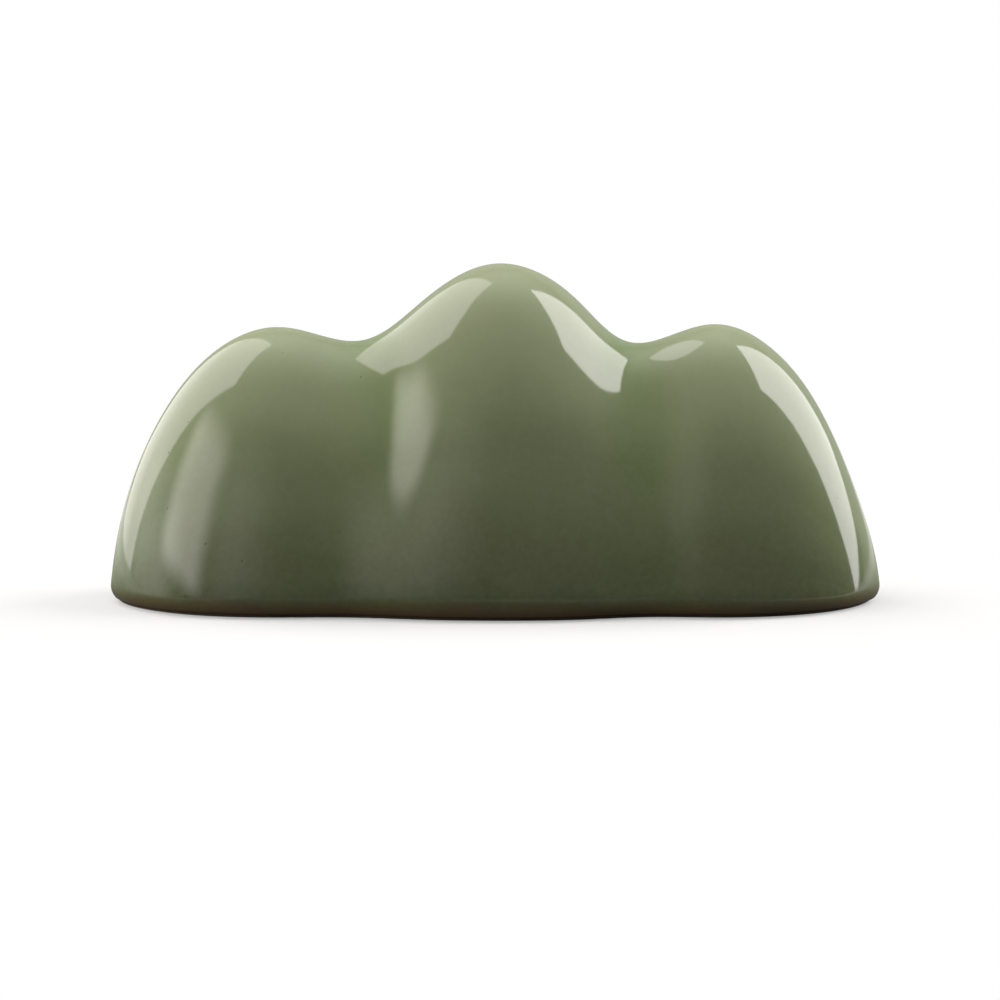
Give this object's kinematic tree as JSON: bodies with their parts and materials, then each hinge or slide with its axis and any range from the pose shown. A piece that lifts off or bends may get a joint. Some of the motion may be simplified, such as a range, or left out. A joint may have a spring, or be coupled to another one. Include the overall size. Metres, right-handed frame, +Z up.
{
  "type": "brush rest",
  "caption": "Glazed porcelain rest in the form of a small mountain range, whose valleys hold brush handles clear of the desk.",
  "frame": {"origin": "on the plane the foot stands on, at the middle of the length and the depth", "axes": "+X along the row of peaks, +Y from front to back, +Z up"},
  "size_m": [0.1054, 0.0394, 0.0466],
  "materials": {
    "porcelain": "fired, unglazed at the foot",
    "outer_glaze": "thick glossy celadon glaze",
    "inner_glaze": "thin glossy celadon glaze"
  },
  "bodies": {
    "root": {"porcelain_body": "porcelain", "outer_glaze": "outer_glaze", "inner_glaze": "inner_glaze"}
  },
  "joints": []
}
